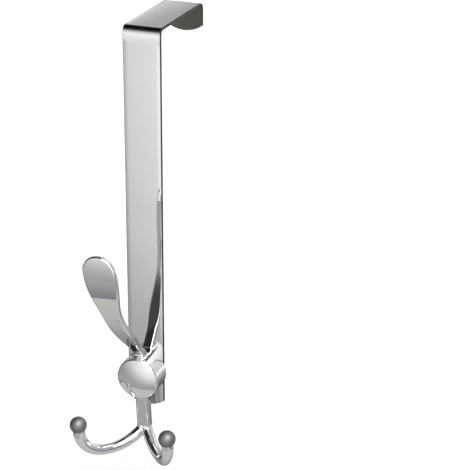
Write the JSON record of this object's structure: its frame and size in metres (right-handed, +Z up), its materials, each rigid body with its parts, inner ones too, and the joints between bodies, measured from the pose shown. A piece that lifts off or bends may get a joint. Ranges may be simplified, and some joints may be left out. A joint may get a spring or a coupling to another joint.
{
  "type": "over door hook",
  "caption": "Folded metal strap that hangs over a door's top edge and carries a cast hook with an upper paddle arm and a pair of ball-tipped lower prongs.",
  "frame": {"origin": "middle of the underside of the top bar, where it rests on the door's top edge", "axes": "+Z up, -Y the side that the hook casting faces, +X to the right seen from that side"},
  "size_m": [0.0528, 0.095, 0.2042],
  "materials": {
    "strap": "mirror-polished stainless steel",
    "casting": "bright chrome plate on a zinc die casting",
    "ball_tips": "satin dark nickel on turned balls",
    "screw": "plain zinc-plated steel"
  },
  "bodies": {
    "root": {"door_strap": "strap", "hook_casting": "casting", "fixing_screw": "screw", "right_ball": "ball_tips", "left_ball": "ball_tips"}
  },
  "joints": []
}
